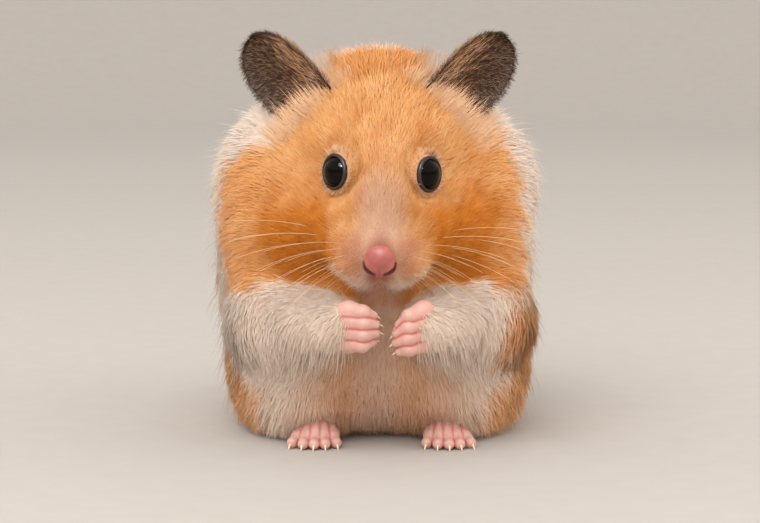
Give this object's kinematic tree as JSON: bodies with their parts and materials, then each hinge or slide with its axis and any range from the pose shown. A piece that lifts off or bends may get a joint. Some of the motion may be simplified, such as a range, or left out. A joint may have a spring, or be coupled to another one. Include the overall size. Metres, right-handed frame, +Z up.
{
  "type": "syrian hamster",
  "caption": "Life-size still model of a golden syrian hamster sitting up on its haunches, forepaws held together at its mouth.",
  "frame": {"origin": "on the floor, under the middle of the model's bounding box", "axes": "+Z up, the hamster faces -Y, and its left side is at +X"},
  "size_m": [0.0704, 0.086, 0.0844],
  "materials": {
    "golden_fur": "soft golden-orange fur",
    "white_fur": "soft cream-white fur",
    "ear_skin": "thin dark grey-brown skin with fine hair",
    "pink_skin": "soft pink skin with sparse hair",
    "nose_skin": "moist pink skin",
    "claw": "translucent pale horn",
    "eye": "wet, near-black gloss"
  },
  "bodies": {
    "root": {"head": "golden_fur", "jaw": "golden_fur", "nose": "nose_skin", "eye_left": "eye", "eye_right": "eye", "ear_left": "ear_skin", "ear_right": "ear_skin", "foreleg_left": "white_fur", "foreleg_right": "white_fur", "neck": "white_fur", "hind_leg_left": "golden_fur", "hind_leg_right": "golden_fur", "trunk": "golden_fur", "tail": "pink_skin", "forepaw_left": "pink_skin", "forepaw_right": "pink_skin", "hind_foot_left": "pink_skin", "hind_foot_right": "pink_skin", "foreclaw_left_1": "claw", "foreclaw_left_2": "claw", "foreclaw_left_3": "claw", "foreclaw_left_4": "claw", "foreclaw_right_1": "claw", "foreclaw_right_2": "claw", "foreclaw_right_3": "claw", "foreclaw_right_4": "claw", "hindclaw_left_1": "claw", "hindclaw_left_2": "claw", "hindclaw_left_3": "claw", "hindclaw_left_4": "claw", "hindclaw_left_5": "claw", "hindclaw_right_1": "claw", "hindclaw_right_2": "claw", "hindclaw_right_3": "claw", "hindclaw_right_4": "claw", "hindclaw_right_5": "claw"}
  },
  "joints": []
}
